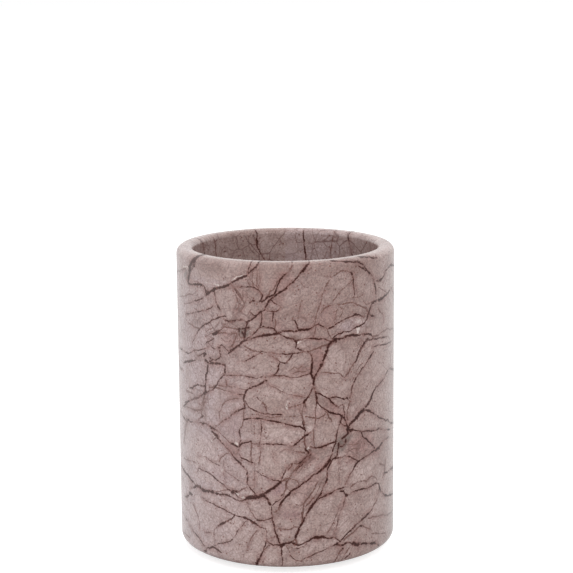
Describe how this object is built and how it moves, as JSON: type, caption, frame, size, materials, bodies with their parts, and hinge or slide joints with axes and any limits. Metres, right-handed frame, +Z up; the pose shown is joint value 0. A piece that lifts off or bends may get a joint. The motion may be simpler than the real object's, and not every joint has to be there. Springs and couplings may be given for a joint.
{
  "type": "pen cup",
  "caption": "Straight round stone pen cup with a rounded rim and a blind bore, standing on felt pads stuck under its base.",
  "frame": {"origin": "on the cup's axis, on the surface that the felt pads stand on", "axes": "+Z up along the cup's axis, -Y towards the side that the picture shows"},
  "size_m": [0.075, 0.075, 0.1069],
  "materials": {
    "veined_stone": "polished",
    "felt": "pressed wool felt",
    "adhesive_film": "double-sided adhesive film"
  },
  "bodies": {
    "root": {"cup_body": "veined_stone", "felt_pad_1": "felt", "felt_pad_2": "felt", "felt_pad_3": "felt", "felt_pad_4": "felt", "pad_film_1": "adhesive_film", "pad_film_2": "adhesive_film", "pad_film_3": "adhesive_film", "pad_film_4": "adhesive_film"}
  },
  "joints": []
}
